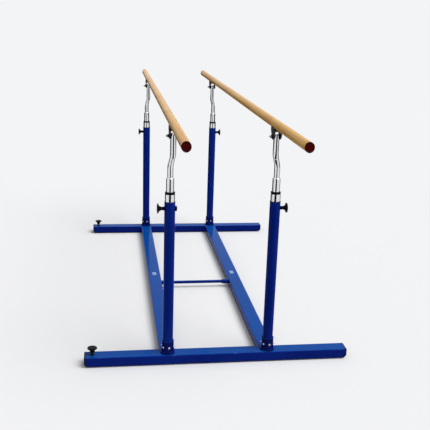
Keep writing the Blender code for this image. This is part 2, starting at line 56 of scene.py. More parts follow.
camera = bpy.data.objects.new("camera", bpy.data.cameras.new("camera"))
bpy.context.scene.collection.objects.link(camera)
camera.data.lens = CAMERA_LENS
camera.data.sensor_width = FRAME_WIDTH
aim = Euler((math.pi / 2 - CAMERA_PITCH, 0, -CAMERA_YAW)).to_matrix()
aim = aim @ Matrix.Rotation(CAMERA_ROLL, 3, "Z")
camera.matrix_world = Matrix.Translation(CAMERA_PLACE) @ aim.to_4x4()
bpy.context.scene.camera = camera
bpy.context.scene.view_settings.view_transform = "Standard"

# Studio
# A pale floor that fades into a pale backdrop, even soft light all round and one broad lamp from the
# upper right.  Only polished surfaces see the dark cloths on the floor and the dark flags round it.
WHITE = (1.0, 1.0, 1.0, 1.0)
PALE = (0.896, 0.905, 0.922, 1.0)
FLOOR_GREY = (0.885, 0.892, 0.905, 1.0)
FLOOR_BOUNCE = (0.350, 0.352, 0.358, 1.0)      # the floor as it lights the object from below
FLOOR_RADIUS = 30.0
FLOOR_SIDES = 96
FLOOR_FADE = (3.0, 7.0)        # metres from the middle
AMBIENT = 0.42
LAMP_STRENGTH = 2.2
LAMP_WIDTH = math.radians(38)
LAMP_FROM = Vector((1.6, -1.0, 3.0))
CLOTH_DARK = (0.01, 0.01, 0.012, 1.0)
CLOTH_HEIGHT = 0.001
CLOTHS = {                     # name: left, right, front and rear edge on the floor
    "front_cloth": (-1.9, 0.9, -7.0, -1.6),
    "rear_cloth": (-1.0, 1.0, 2.2, 9.0),
    "left_cloth": (-9.0, -1.0, 0.0, 9.0),
    "right_cloth": (1.0, 9.0, 0.0, 9.0),
}
FLAG_WIDTH = 4.0
FLAGS = {                      # name: direction from the middle, distance and height
    "left_flag": (math.pi, 6.0, 3.0),
    "right_flag": (0, 6.0, 3.0),
    "front_flag": (-math.pi / 2, 7.5, 3.0),
    "rear_flag": (math.pi / 2, 7.5, 1.1),
}


class Wire:
    """A socket among a finish's nodes.  Arithmetic on wires adds Math nodes."""

    def __init__(self, tree, socket=None):
        self.tree = tree
        self.socket = socket

    def node(self, kind, settings=None, sockets=None, output=0):
        """A new node of a kind.  Its settings are set first, then the values or links of its sockets."""
        made = self.tree.nodes.new("ShaderNode" + kind)
        for key, value in (settings or {}).items():
            if key == "stops":
                self.set_stops(made.color_ramp.elements, value)
            else:
                setattr(made, key, value)
        for key, value in (sockets or {}).items():
            if isinstance(value, Wire):
                self.tree.links.new(value.socket, made.inputs[key])
            else:
                made.inputs[key].default_value = value
        return Wire(self.tree, made.outputs[output] if made.outputs else None)

    @staticmethod
    def set_stops(elements, stops):
        """Give a ramp its stops, as positions and colours."""
        while len(elements) < len(stops):
            elements.new(1.0)
        for element, (position, colour) in zip(elements, stops):
            element.position = position
            element.color = colour

    def maths(self, operation, *values):
        return self.node("Math", {"operation": operation}, dict(enumerate(values)))

    def __add__(self, other):
        return self.maths("ADD", self, other)

    def __radd__(self, other):
        return self.maths("ADD", other, self)

    def __sub__(self, other):
        return self.maths("SUBTRACT", self, other)

    def __rsub__(self, other):
        return self.maths("SUBTRACT", other, self)

    def __mul__(self, other):
        return self.maths("MULTIPLY", self, other)

    def __rmul__(self, other):
        return self.maths("MULTIPLY", other, self)

    def __abs__(self):
        return self.maths("ABSOLUTE", self)

    def step(self, low, high):
        """A soft step of this value, 0 below low and 1 above high."""
        return self.node("MapRange", {"interpolation_type": "SMOOTHSTEP"},
                         {"Value": self, "From Min": low, "From Max": high})

    def tint(self, first, second):
        """A colour that goes from the first to the second as this value goes from 0 to 1."""
        return self.node("Mix", {"data_type": "RGBA"}, {0: self, 6: first, 7: second}, output=2)

    def place(self):
        """A point of the object, in metres."""
        return self.node("TexCoord", output="Object")

    def axis(self, name):
        """One coordinate of a point of the object."""
        return self.node("SeparateXYZ", {}, {"Vector": self.place()}, output=name)

    def noise(self, scale, detail=2.0, roughness=0.5, stretch=(1, 1, 1)):
        """Noise over the object, with this many patches a metre, drawn out where stretch is small."""
        spread = self.node("Mapping", {}, {"Vector": self.place(), "Scale": stretch})
        return self.node("TexNoise", {}, {"Vector": spread, "Scale": scale, "Detail": detail,
                                          "Roughness": roughness})

    def seen(self):
        """1 on rays from the camera or by way of a polished surface, 0 on rays that carry soft light."""
        rays = ("Camera", "Glossy", "Transmission")
        return sum(self.node("LightPath", output=f"Is {ray} Ray") for ray in rays)

    def bump(self, height, strength, distance):
        """The normal of a surface that rises and falls with a height."""
        return self.node("Bump", {}, {"Height": height, "Strength": strength, "Distance": distance})

    def surface(self, sockets):
        """Close a finish with a surface that has these values or links on its sockets."""
        self.node("OutputMaterial", {}, {"Surface": self.node("BsdfPrincipled", {}, sockets)})


def wires_of(owner):
    """The emptied nodes of a material or of the world."""
    owner.use_nodes = True
    owner.node_tree.nodes.clear()
    return Wire(owner.node_tree)


def new_finish(name):
    """A new material, and its nodes to be filled."""
    finish = bpy.data.materials.new(name)
    return finish, wires_of(finish)


def clear_selection():
    """Select nothing, so that the next operator acts only on what comes next."""
    bpy.ops.object.select_all(action="DESELECT")


world = bpy.data.worlds.new("studio_light")
bpy.context.scene.world = world
light = wires_of(world)
glow = light.node("Background", {}, {"Color": WHITE, "Strength": AMBIENT})
backdrop = light.node("Background", {}, {"Color": PALE, "Strength": 1.0})
sky = light.node("MixShader", {}, {0: light.seen(), 1: glow, 2: backdrop})
light.node("OutputWorld", {}, {"Surface": sky})

clear_selection()
bpy.ops.mesh.primitive_circle_add(vertices=FLOOR_SIDES, radius=FLOOR_RADIUS, fill_type="NGON")
floor = bpy.context.object
floor.name = "studio_floor"
floor_finish, ground = new_finish("studio_floor")
reach = ground.node("VectorMath", {"operation": "LENGTH"}, {0: ground.place()}, output="Value")
matt = ground.node("BsdfDiffuse", {}, {"Color": ground.seen().tint(FLOOR_BOUNCE, FLOOR_GREY)})
clear = ground.node("BsdfTransparent")
faded = ground.node("MixShader", {}, {0: reach.step(*FLOOR_FADE), 1: matt, 2: clear})
ground.node("OutputMaterial", {}, {"Surface": faded})
floor.data.materials.append(floor_finish)

lamp = bpy.data.objects.new("broad_lamp", bpy.data.lights.new("broad_lamp", "SUN"))
bpy.context.scene.collection.objects.link(lamp)
lamp.data.energy = LAMP_STRENGTH
lamp.data.angle = LAMP_WIDTH
lamp.rotation_euler = LAMP_FROM.to_track_quat("Z", "Y").to_euler()

dark_cloth, weave = new_finish("dark_cloth")
weave.node("OutputMaterial", {}, {"Surface": weave.node("BsdfDiffuse", {}, {"Color": CLOTH_DARK})})


def dark_panel(name, middle, size, turn=(0, 0, 0)):
    """A dark sheet that shows in polished surfaces alone."""
    clear_selection()
    bpy.ops.mesh.primitive_plane_add(size=1.0, location=middle, rotation=turn)
    panel = bpy.context.object
    panel.name = name
    panel.scale = (size[0], size[1], 1)
    bpy.ops.object.transform_apply()
    panel.data.materials.append(dark_cloth)
    panel.visible_camera = False
    panel.visible_diffuse = False
    panel.visible_shadow = False


for cloth, (left, right, front, rear) in CLOTHS.items():
    dark_panel(cloth, ((left + right) / 2, (front + rear) / 2, CLOTH_HEIGHT), (right - left, rear - front))
for flag, (way, distance, height) in FLAGS.items():
    middle = (distance * math.cos(way), distance * math.sin(way), height / 2)
    dark_panel(flag, middle, (height, FLAG_WIDTH), (0, math.pi / 2, way))

# Cross beams
# Two lengths of rectangular steel tube lie across the ends of the base and carry everything.  They are
# mitred under both ends, drilled for the levelling screws and sprayed with glossy blue enamel.
BLUE = (0.0030, 0.0205, 0.2530, 1.0)
BLUE_DEEP = (0.0024, 0.0140, 0.2050, 1.0)
# Painted sheen and dust: upward faces are tinted to this paler blue, a painted reflection of the studio.
DUST_AND_SHEEN_BLUE = (0.0015, 0.1350, 0.4900, 1.0)
DUST_AND_SHEEN_SHARE = 0.53
BARE_STEEL = (0.30, 0.31, 0.33, 1.0)
ENAMEL_SHINE = 0.027
CHIP_REACH = 0.004             # of chipped paint from an edge
TUBE_CORNER = 0.005
END_CUT = 0.016
LEVELLER_HOLE = 0.0064
DRILL = 0.1                    # half the length of a tool that goes right through
SMALL_ROUND = 48               # steps round pads, bushes and bolts
SOFT_ANGLE = 35.0              # degrees, under which an edge stays smooth
SIDES = {"left": -1, "right": 1}


def enamel(name, coat=(BLUE, BLUE_DEEP), chips=None):
    """Sprayed enamel: faint orange peel, dust and painted sheen on upward faces, chips where a mask says."""
    finish, paint = new_finish(name)
    colour = paint.noise(2.5, 3.0).step(0.35, 0.65).tint(*coat)
    normal = paint.node("NewGeometry", output="Normal")
    upward = paint.node("SeparateXYZ", {}, {"Vector": normal}, output="Z")
    # Painted sheen and dust: upward faces are lightened towards a paler blue, as a painted reflection.
    dust_and_sheen = upward.step(0.6, 1.0) * (0.6 + 0.4 * paint.noise(24.0, 5.0, 0.6))
    colour = (dust_and_sheen * DUST_AND_SHEEN_SHARE).tint(colour, DUST_AND_SHEEN_BLUE)
    rubbed = paint.noise(160.0, 4.0, 0.7, (1.0, 0.06, 1.0)).step(0.62, 0.74)
    gloss = 0.08 + dust_and_sheen * 0.03 + rubbed * 0.06
    metal = 0.0
    height = paint.noise(900.0, 1.0) * 0.5 + paint.noise(120.0, 2.0) * 0.5
    if chips:
        bare = chips(paint)
        colour = bare.tint(colour, BARE_STEEL)
        metal = bare * 0.8
        gloss = gloss + bare * 0.2
        height = height - bare * 0.6
    paint.surface({"Base Color": colour, "Roughness": gloss, "Metallic": metal,
                   "Specular IOR Level": ENAMEL_SHINE, "Normal": paint.bump(height, 0.10, 0.0006)})
    return finish


def middle_of(node):
    """The middle of a solid's box."""
    low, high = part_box(node)
    return (low + high) / 2


def half_of(node):
    """Half the size of a solid's box."""
    low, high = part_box(node)
    return (high - low) / 2


def named(name):
    """The piece that was just added, with its place written into its mesh."""
    piece = bpy.context.object
    piece.name = name
    piece.data.name = name
    bpy.ops.object.transform_apply()
    return piece


def block(name, low, high):
    """A new block between two corners."""
    clear_selection()
    middle = (Vector(low) + Vector(high)) / 2
    bpy.ops.mesh.primitive_cube_add(size=1.0, location=middle, scale=Vector(high) - Vector(low))
    return named(name)


def activate(piece):
    """Select one piece alone."""
    clear_selection()
    piece.select_set(True)
    bpy.context.view_layer.objects.active = piece


def discard(*pieces):
    """Throw away tools and patterns that have served."""
    for piece in pieces:
        bpy.data.objects.remove(piece, do_unlink=True)


def edit(piece):
    """Open one piece in edit mode with everything selected."""
    activate(piece)
    bpy.ops.object.mode_set(mode="EDIT")
    bpy.ops.mesh.select_mode(type="VERT")
    bpy.ops.mesh.select_all(action="SELECT")


def pick(kind, test):
    """In edit mode, select only the edges or faces that pass a test."""
    bpy.ops.mesh.select_mode(type=kind)
    bpy.ops.mesh.select_all(action="DESELECT")
    form = bmesh.from_edit_mesh(bpy.context.object.data)
    for part in {"EDGE": form.edges, "FACE": form.faces}[kind]:
        if test(part):
            part.select_set(True)
    form.select_flush_mode()
    bmesh.update_edit_mesh(bpy.context.object.data)


def round_edges(axis, radius, steps=4):
    """In edit mode, round the edges that run along one axis."""
    def runs_along(edge):
        run = edge.verts[1].co - edge.verts[0].co
        return abs(run[axis]) > 0.99 * run.length
    pick("EDGE", runs_along)
    bpy.ops.mesh.bevel(offset=radius, segments=steps, affect="EDGES")


def leave_edit():
    """Close edit mode."""
    bpy.ops.object.mode_set(mode="OBJECT")


def rod(name, radius, low, high, axis="Z", middle=(0, 0, 0), sides=SMALL_ROUND):
    """A new plain rod along an axis, from low to high about a middle, to cut or to work on."""
    clear_selection()
    turn = {"X": (0, math.pi / 2, 0), "Y": (-math.pi / 2, 0, 0), "Z": (0, 0, 0)}[axis]
    middle = Vector(middle) + Vector([axis == letter for letter in "XYZ"]) * (low + high) / 2
    bpy.ops.mesh.primitive_cylinder_add(vertices=sides, radius=radius, depth=high - low, location=middle,
                                        rotation=turn)
    return named(name)


def cut(piece, tool):
    """Cut a tool out of a piece and throw the tool away."""
    change = piece.modifiers.new("cut", "BOOLEAN")
    change.operation = "DIFFERENCE"
    change.object = tool
    change.solver = "EXACT"
    activate(piece)
    bpy.ops.object.modifier_apply(modifier=change.name)
    discard(tool)


def shade(piece, angle=SOFT_ANGLE):
    """Shade a finished piece smooth across its shallow edges, with its wide faces kept flat."""
    activate(piece)
    bpy.ops.object.shade_smooth_by_angle(angle=math.radians(angle))
    weighting = piece.modifiers.new("weighting", "WEIGHTED_NORMAL")
    weighting.keep_sharp = True
    bpy.ops.object.modifier_apply(modifier=weighting.name)


def settle(piece, location, rotation=(0, 0, 0)):
    """Move and turn a piece, with its new place written into its mesh."""
    activate(piece)
    piece.location = location
    piece.rotation_euler = rotation
    bpy.ops.object.transform_apply()


def twin(piece, name, location, rotation=(0, 0, 0)):
    """A copy of a piece with its own mesh, settled in its place."""
    copy = piece.copy()
    copy.data = piece.data.copy()
    copy.name = name
    copy.data.name = name
    bpy.context.scene.collection.objects.link(copy)
    settle(copy, location, rotation)
    return copy


def dress(piece, finish, body, node=None):
    """Give a piece its finish, the body it moves with, and the solid that it stands for."""
    piece.data.materials.clear()
    piece.data.materials.append(finish)
    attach(piece, body)
    if node:
        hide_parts(node)


def beam_chips(paint):
    """Small chips of paint along the long edges of the beams."""
    half = half_of("right_long_beam").x
    row = abs(abs(paint.axis("Y")) - abs(middle_of("front_cross_beam").y))
    column = abs(abs(paint.axis("X")) - middle_of("right_long_beam").x)
    near_side = 1.0 - abs(row - half).step(0.0, CHIP_REACH) * abs(column - half).step(0.0, CHIP_REACH)
    near_top = 1.0 - abs(paint.axis("Z") - beam_top).step(0.0, CHIP_REACH)
    return near_side * near_top * paint.noise(60.0, 4.0, 0.6).step(0.63, 0.70)


cross_low, cross_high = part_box("front_cross_beam")
beam_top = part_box("right_long_beam")[1].z
beam_enamel = enamel("beam_enamel", chips=beam_chips)
beam = block("front_cross_tube", cross_low, (cross_high.x, cross_high.y, beam_top))
edit(beam)
round_edges(0, TUBE_CORNER)
for outward in SIDES.values():
    bpy.ops.mesh.select_all(action="SELECT")
    bpy.ops.mesh.bisect(plane_co=(outward * (cross_high.x - END_CUT), cross_low.y, cross_low.z),
                        plane_no=(outward, 0, -1), use_fill=True, clear_outer=True)
leave_edit()
screw = middle_of("front_levelling_screw")
cut(beam, rod("leveller_hole", LEVELLER_HOLE, -DRILL, DRILL, middle=(screw.x, screw.y, cross_low.z)))
shade(beam)
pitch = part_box("rear_cross_beam")[0].y - cross_low.y
dress(twin(beam, "rear_cross_tube", (0, pitch, 0)), beam_enamel, "base", "rear_cross_beam")
dress(beam, beam_enamel, "base", "front_cross_beam")

# Long beams
# Two more lengths of the same tube run between the cross beams, butted against them and welded, with
# the tops ground flush.  The same coat of enamel covers them.
low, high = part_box("right_long_beam")
beam = block("right_long_tube", low, high)
edit(beam)
round_edges(1, TUBE_CORNER)
leave_edit()
shade(beam)
spacing = low.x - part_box("left_long_beam")[0].x
dress(twin(beam, "left_long_tube", (-spacing, 0, 0)), beam_enamel, "base", "left_long_beam")
dress(beam, beam_enamel, "base", "right_long_beam")

# Weld beads
# Each long beam is fillet welded to the cross beams down both of its sides.  The beads keep their
# ripples under the paint.
BEAD_RADIUS = 0.0036
BEAD_RIPPLE = 0.0005
BEAD_STEP = 0.0012
BEAD_SIDES = 16
MERGE_REACH = 0.000002
ROUND = 64                     # steps round knobs and necks
ENDS = {"front": -1, "rear": 1}
plain_enamel = enamel("plain_enamel")


def lathe(name, outline, steps=ROUND):
    """A turned piece about Z.  An outline of radius and height points is drawn out and spun."""
    clear_selection()
    bpy.ops.mesh.primitive_plane_add(size=1.0)
    piece = named(name)
    edit(piece)
    bpy.ops.mesh.merge(type="CENTER")
    bpy.ops.transform.translate(value=(outline[0][0], 0, outline[0][1]))
    for (radius, height), (old_radius, old_height) in zip(outline[1:], outline):
        bpy.ops.mesh.extrude_vertices_move(
            TRANSFORM_OT_translate={"value": (radius - old_radius, 0, height - old_height)})
    bpy.ops.mesh.select_all(action="SELECT")
    bpy.ops.mesh.spin(steps=steps, angle=2 * math.pi, center=(0, 0, 0), axis=(0, 0, 1))
    bpy.ops.mesh.select_all(action="SELECT")
    bpy.ops.mesh.remove_doubles(threshold=MERGE_REACH)
    bpy.ops.mesh.normals_make_consistent(inside=False)
    leave_edit()
    return piece


def gather(name, pieces):
    """Several loose pieces joined into one object."""
    activate(pieces[0])
    for piece in pieces:
        piece.select_set(True)
    bpy.ops.object.join()
    pieces[0].name = name
    pieces[0].data.name = name
    return pieces[0]


bead_length = beam_top - cross_low.z - 2 * TUBE_CORNER
ripples = int(bead_length / BEAD_STEP)
swells = [(BEAD_RADIUS - BEAD_RIPPLE * (i % 2), bead_length * i / ripples) for i in range(1, ripples)]
bead = lathe("weld_bead", [(0, bead_length), *swells[::-1], (0, 0)], BEAD_SIDES)
activate(bead)
bpy.ops.object.shade_smooth()
for end, way in ENDS.items():
    beads = []
    for side in SIDES:
        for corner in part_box(f"{side}_long_beam"):
            spot = (corner.x, -way * cross_high.y, cross_low.z + TUBE_CORNER)
            beads.append(twin(bead, f"{end}_{side}_bead", spot))
    dress(gather(f"{end}_weld_beads", beads), plain_enamel, "base")
discard(bead)

# Middle brace
# A thin round tube ties the long beams together near mid-length.  A thicker sleeve at each end takes
# its weld.
SLEEVE_LENGTH = 0.044
SLEEVE_TAPER = 0.003
BRACE_RADIUS = 0.010
BRACE_EDGE = 0.0012
ALONG_X = (0, math.pi / 2, 0)


def ease(piece, width, segments=2, angle=SOFT_ANGLE):
    """Take the sharp edges off a piece."""
    rounding = piece.modifiers.new("ease", "BEVEL")
    rounding.width = width
    rounding.segments = segments
    rounding.limit_method = "ANGLE"
    rounding.angle_limit = math.radians(angle)
    activate(piece)
    bpy.ops.object.modifier_apply(modifier=rounding.name)


half = half_of("centre_brace")
shoulder = half.x - SLEEVE_LENGTH
waist = shoulder - SLEEVE_TAPER
brace = lathe("middle_brace", [(0, half.x), (half.z, half.x), (half.z, shoulder), (BRACE_RADIUS, waist),
                               (BRACE_RADIUS, -waist), (half.z, -shoulder), (half.z, -half.x),
                               (0, -half.x)], SMALL_ROUND)
ease(brace, BRACE_EDGE, 3)
shade(brace)
settle(brace, middle_of("centre_brace"), ALONG_X)
dress(brace, plain_enamel, "base", "centre_brace")

# Beam end caps
# Bent plates of black moulded plastic close the mitred ends of the cross beams.  A plug behind each
# one, out of sight, holds it in the tube.
CAP_THICKNESS = 0.006
CAP_EDGE = 0.0010
SEAT_GAP = 0.0003
ROOM_SPARE = 0.02              # of the tool that hollows the cap, round the beam
BLACK = (0.0030, 0.0030, 0.0034, 1.0)
GREY_BLACK = (0.0090, 0.0090, 0.0096, 1.0)
PLASTIC_SHINE = 0.06

black_plastic, plastic = new_finish("black_plastic")
worn = plastic.noise(60.0, 5.0, 0.6).step(0.45, 0.75)
grain = plastic.noise(2600.0, 2.0)
plastic.surface({"Base Color": worn.tint(BLACK, GREY_BLACK), "Roughness": 0.42 - worn * 0.12,
                 "Specular IOR Level": PLASTIC_SHINE, "Normal": plastic.bump(grain, 0.18, 0.0003)})


def mitred_end(name, skin, spare=0.0):
    """The mitred right end of a cross beam, grown outwards by a skin, with spare width and height."""
    piece = block(name, (cross_high.x - 2 * END_CUT, cross_low.y - spare, cross_low.z),
                  (cross_high.x + skin, cross_high.y + spare, beam_top + spare))
    edit(piece)
    round_edges(0, TUBE_CORNER)
    bpy.ops.mesh.select_all(action="SELECT")
    knee = (cross_high.x + skin * math.sqrt(2) - END_CUT, cross_low.y, cross_low.z)
    bpy.ops.mesh.bisect(plane_co=knee, plane_no=(1, 0, -1), use_fill=True, clear_outer=True)
    leave_edit()
    return piece


def facing(direction):
    """No turn about Z for a positive direction, and half a turn for a negative one."""
    return 0 if direction > 0 else math.pi


def upright_places():
    """Name, foot point and outward direction of the four uprights."""
    for end in ENDS:
        for side, outward in SIDES.items():
            spot = middle_of(f"{end}_{side}_socket")
            yield f"{end}_{side}", Vector((spot.x, spot.y, 0)), outward


def set_on_uprights(pattern, label, finish, body, node=None, faces_out=False):
    """A dressed copy of a pattern at each upright, with names that start with the upright's."""
    for name, foot, outward in upright_places():
        turn = facing(outward) if faces_out else 0
        copy = twin(pattern, f"{name}_{label}", foot, (0, 0, turn))
        dress(copy, finish, body.format(name), node and f"{name}_{node}")
    discard(pattern)


cap = mitred_end("beam_end_cap", SEAT_GAP + CAP_THICKNESS)
cut(cap, mitred_end("beam_end_room", SEAT_GAP, ROOM_SPARE))
ease(cap, CAP_EDGE, angle=40.0)
shade(cap)
upright = middle_of("front_right_socket")
settle(cap, (-upright.x, -upright.y, 0))
set_on_uprights(cap, "tube_end", black_plastic, "base", "end_cap", faces_out=True)

# Feet
# Round pads of black rubber under the four ends of the cross beams.  The left pair has a seat in which
# the tip of a levelling screw turns.
RUBBER = (0.0200, 0.0200, 0.0205, 1.0)
RUBBER_DUST = (0.0750, 0.0740, 0.0720, 1.0)
FOOT_ROUND = 0.0014
FOOT_EDGE = 0.0005
SOLE_GROOVE = 0.0012
SOLE_EDGES = (0.75, 0.72, 0.60, 0.57)          # of the groove, as shares of the radius

rubber_finish, rubber = new_finish("black_rubber")
bloom = rubber.noise(90.0, 6.0, 0.7).step(0.45, 0.80)
rubber.surface({"Base Color": (bloom * 0.6).tint(RUBBER, RUBBER_DUST), "Roughness": 0.72 + bloom * 0.15,
                "Normal": rubber.bump(rubber.noise(1500.0, 3.0), 0.30, 0.0004)})

foot_radius = half_of("front_right_foot").x
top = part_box("front_right_foot")[1].z
depths = (0, SOLE_GROOVE, SOLE_GROOVE, 0)
groove = [(foot_radius * share, depth) for share, depth in zip(SOLE_EDGES, depths)]
sole = [(foot_radius, 0), *groove, (0, 0)]
rim = [(foot_radius - FOOT_ROUND, top), (foot_radius, top - FOOT_ROUND)]
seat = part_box("front_levelling_screw")[0].z - SEAT_GAP
pad = lathe("fixed_pad", [(0, top), *rim, *sole], SMALL_ROUND)
swivel_pad = lathe("swivel_pad", [(0, seat), (LEVELLER_HOLE, seat), (LEVELLER_HOLE, top), *rim, *sole],
                   SMALL_ROUND)
for pattern in (pad, swivel_pad):
    ease(pattern, FOOT_EDGE)
    shade(pattern)
for end in ENDS:
    for side, pattern, body in (("right", pad, "base"), ("left", swivel_pad, f"{end}_leveller_foot")):
        spot = middle_of(f"{end}_{side}_foot")
        copy = twin(pattern, f"{end}_{side}_foot_pad", (spot.x, spot.y, 0))
        dress(copy, rubber_finish, body, f"{end}_{side}_foot")
discard(pad, swivel_pad)

# Levelling screws
# Hand screws at the left ends of the cross beams: a trumpet-shaped knob of black plastic moulded on a
# blackened steel thread.  It runs in a bush that stands up out of the beam, and bears on the foot.
KNOB_RADIUS = 0.025
KNOB_LENGTH = 0.026
KNOB_RIM = 0.004
KNOB_CROWN = 0.003
KNOB_EDGE = 0.0006
DISH_RADIUS = 0.013            # of the shallow dish in the crown
DISH_DEPTH = 0.0011
DISH_LIP = 0.001
CROWN_STEPS = 6
THROAT_STEPS = 20
FINE_ROUND = 32                # steps round screws and holes
LEVELLER_NECK = 0.0125
LEVELLER_RADIUS = 0.006
TIP_RADIUS = 0.0045
TIP_LENGTH = 0.002
BUSH_RADIUS = 0.011
BUSH_EDGE = 0.0010
THREAD_PITCH = 0.0015
THREAD_DEPTH = 0.0008
THREAD_ANGLE = 30.0
STEEL_BLACK = (0.0060, 0.0060, 0.0068, 1.0)
STEEL_WORN = (0.0500, 0.0500, 0.0520, 1.0)
STEEL_SHINE = 0.25

black_steel, steel = new_finish("black_steel")
worn = steel.noise(110.0, 5.0, 0.6).step(0.52, 0.78) * 0.7
texture = steel.noise(1800.0, 3.0) * 0.7 + steel.noise(260.0, 2.0) * 0.3
steel.surface({"Base Color": worn.tint(STEEL_BLACK, STEEL_WORN), "Roughness": 0.42 - worn * 0.1,
               "Metallic": worn * 0.6, "Specular IOR Level": STEEL_SHINE,
               "Normal": steel.bump(texture, 0.22, 0.0004)})


def quarter(steps):
    """Angles from 0 to a quarter turn."""
    return [i / steps * math.pi / 2 for i in range(steps + 1)]


def knob_outline(neck):
    """Half section of a hand knob, from the middle of its crown down to its neck at height 0."""
    brim = KNOB_LENGTH - KNOB_CROWN
    under = brim - KNOB_RIM
    dish = KNOB_LENGTH - DISH_DEPTH
    crown = [(DISH_RADIUS + (KNOB_RADIUS - DISH_RADIUS) * math.sin(t), brim + KNOB_CROWN * math.cos(t))
             for t in quarter(CROWN_STEPS)]
    throat = [(KNOB_RADIUS - (KNOB_RADIUS - neck) * math.sin(t), under * math.cos(t))
              for t in quarter(THROAT_STEPS)]
    return [(0, dish), (DISH_RADIUS - DISH_LIP, dish), *crown, *throat[:-1], (neck, 0)]


def thread_outline(radius, low, high):
    """Ridges of a screw thread, from the top down."""
    turns = int((high - low) / THREAD_PITCH)
    ridges = []
    for i in range(turns):
        crest = high - i * (high - low) / turns
        ridges.append((radius - THREAD_DEPTH, crest))
        ridges.append((radius, crest - THREAD_PITCH / 2))
    return ridges + [(radius - THREAD_DEPTH, low)]


def ring_outline(bore, radius, low, high):
    """Closed half section of a plain ring."""
    return [(bore, high), (radius, high), (radius, low), (bore, low), (bore, high)]


knob = lathe("hand_knob", knob_outline(LEVELLER_NECK) + [(0, 0)])
ease(knob, KNOB_EDGE, 3)
shade(knob)
bush = lathe("leveller_bush", ring_outline(LEVELLER_HOLE, BUSH_RADIUS, beam_top, cross_high.z), SMALL_ROUND)
ease(bush, BUSH_EDGE, 3)
shade(bush)
for end in ENDS:
    low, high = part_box(f"{end}_levelling_screw")
    axis = (low + high) / 2
    base = high.z - KNOB_LENGTH
    dress(twin(bush, f"{end}_leveller_bush", (axis.x, axis.y, 0)), black_steel, "base")
    copy = twin(knob, f"{end}_leveller_knob", (axis.x, axis.y, base))
    dress(copy, black_plastic, f"{end}_leveller_screw", f"{end}_levelling_screw")
    ridges = thread_outline(LEVELLER_RADIUS, low.z + TIP_LENGTH, base)
    thread = lathe(f"{end}_leveller_thread", [(0, base), *ridges, (TIP_RADIUS, low.z), (0, low.z)],
                   FINE_ROUND)
    shade(thread, THREAD_ANGLE)
    settle(thread, (axis.x, axis.y, 0))
    dress(thread, black_steel, f"{end}_leveller_screw")
discard(bush, knob)

# Blank plates
# A small plate of aluminium, anodised pale blue, lies on top of each long beam near mid-length.  Two
# dome-headed rivets hold it.
PLATE_WIDTH = 0.026
PLATE_LENGTH = 0.052
PLATE_THICKNESS = 0.0009
PLATE_ROW = 0.010              # along Y from the middle
PLATE_CORNER = 0.004
PLATE_EDGE = 0.0003
RIVET_RADIUS = 0.0021
RIVET_HEIGHT = 0.0013
RIVET_INSET = 0.006
RIVET_SIDES = 24
ALUMINIUM = (0.34, 0.48, 0.82, 1.0)
ALUMINIUM_DULL = (0.27, 0.40, 0.74, 1.0)

plate_finish, satin = new_finish("satin_aluminium")
brushed = satin.noise(900.0, 3.0, 0.6, (1.0, 0.02, 1.0))
tarnish = satin.noise(30.0, 4.0).step(0.35, 0.70)
satin.surface({"Base Color": tarnish.tint(ALUMINIUM, ALUMINIUM_DULL), "Metallic": 0.85,
               "Roughness": 0.30 + brushed * 0.12, "Normal": satin.bump(brushed, 0.15, 0.0002)})

plate_top = beam_top + PLATE_THICKNESS
plate = block("blank_plate", (-PLATE_WIDTH / 2, PLATE_ROW - PLATE_LENGTH / 2, beam_top),
              (PLATE_WIDTH / 2, PLATE_ROW + PLATE_LENGTH / 2, plate_top))
edit(plate)
round_edges(2, PLATE_CORNER, 5)
leave_edit()
ease(plate, PLATE_EDGE, angle=40.0)
shade(plate)
dome = [(RIVET_RADIUS * math.sin(t), RIVET_HEIGHT * math.cos(t)) for t in quarter(6)]
rivet = lathe("rivet", dome + [(0, 0)], RIVET_SIDES)
activate(rivet)
bpy.ops.object.shade_smooth()
rivet_reach = PLATE_LENGTH / 2 - RIVET_INSET
rivets = [twin(rivet, "plate_rivet", (0, PLATE_ROW + way * rivet_reach, plate_top)) for way in ENDS.values()]
plate = gather("blank_plate", [plate, *rivets])
for side in SIDES:
    spot = (middle_of(f"{side}_long_beam").x, 0, 0)
    dress(twin(plate, f"{side}_blank_plate", spot), plate_finish, "base")
discard(rivet, plate)

# Sockets
# A cast shoe with a flared foot is welded to the cross beam under each post.  Six button-headed screws
# with washers go through its wall and hold the post.
LARGE_ROUND = 96               # steps round posts, tubes and bars
SOCKET_WALL = 0.0045
SOCKET_FLANGE = 0.008
SOCKET_EDGE = 0.0008
FLARE_POWER = 1.6
# Painted shade: the shoes take a darker copy of the blue enamel, for the shade at the foot of the posts.
SHADED_SHOE_BLUE = (0.0024, 0.0080, 0.1250, 1.0)
SHADED_SHOE_BLUE_DEEP = (0.0018, 0.0060, 0.1000, 1.0)
SCREW_COUNT = 6
SCREW_TURN = math.radians(10)  # of the ring of screws, from the front towards the right
SCREW_ROW = 0.037              # above the beam top
SCREW_SINK = 0.0002
BUTTON = 0.0046
BUTTON_HEIGHT = 0.0034
BUTTON_SIDE = 0.0008           # height of the button's straight side
BUTTON_EDGE = 0.0002
HEX_RADIUS = 0.0021
HEX_FLOOR = 0.0016             # above the washer
WASHER = 0.0058
WASHER_THICKNESS = 0.0010
WASHER_ROOT = 0.001            # under the surface of the shoe
ZINC = (0.58, 0.60, 0.64, 1.0)
ZINC_DULL = (0.40, 0.42, 0.47, 1.0)

zinc_finish, zinc = new_finish("zinc_plate")
spangle = zinc.noise(220.0, 4.0, 0.6).step(0.40, 0.70)
zinc.surface({"Base Color": spangle.tint(ZINC, ZINC_DULL), "Metallic": 1.0,
              "Roughness": 0.24 + spangle * 0.14,
              "Normal": zinc.bump(zinc.noise(1400.0, 2.0), 0.10, 0.0002)})

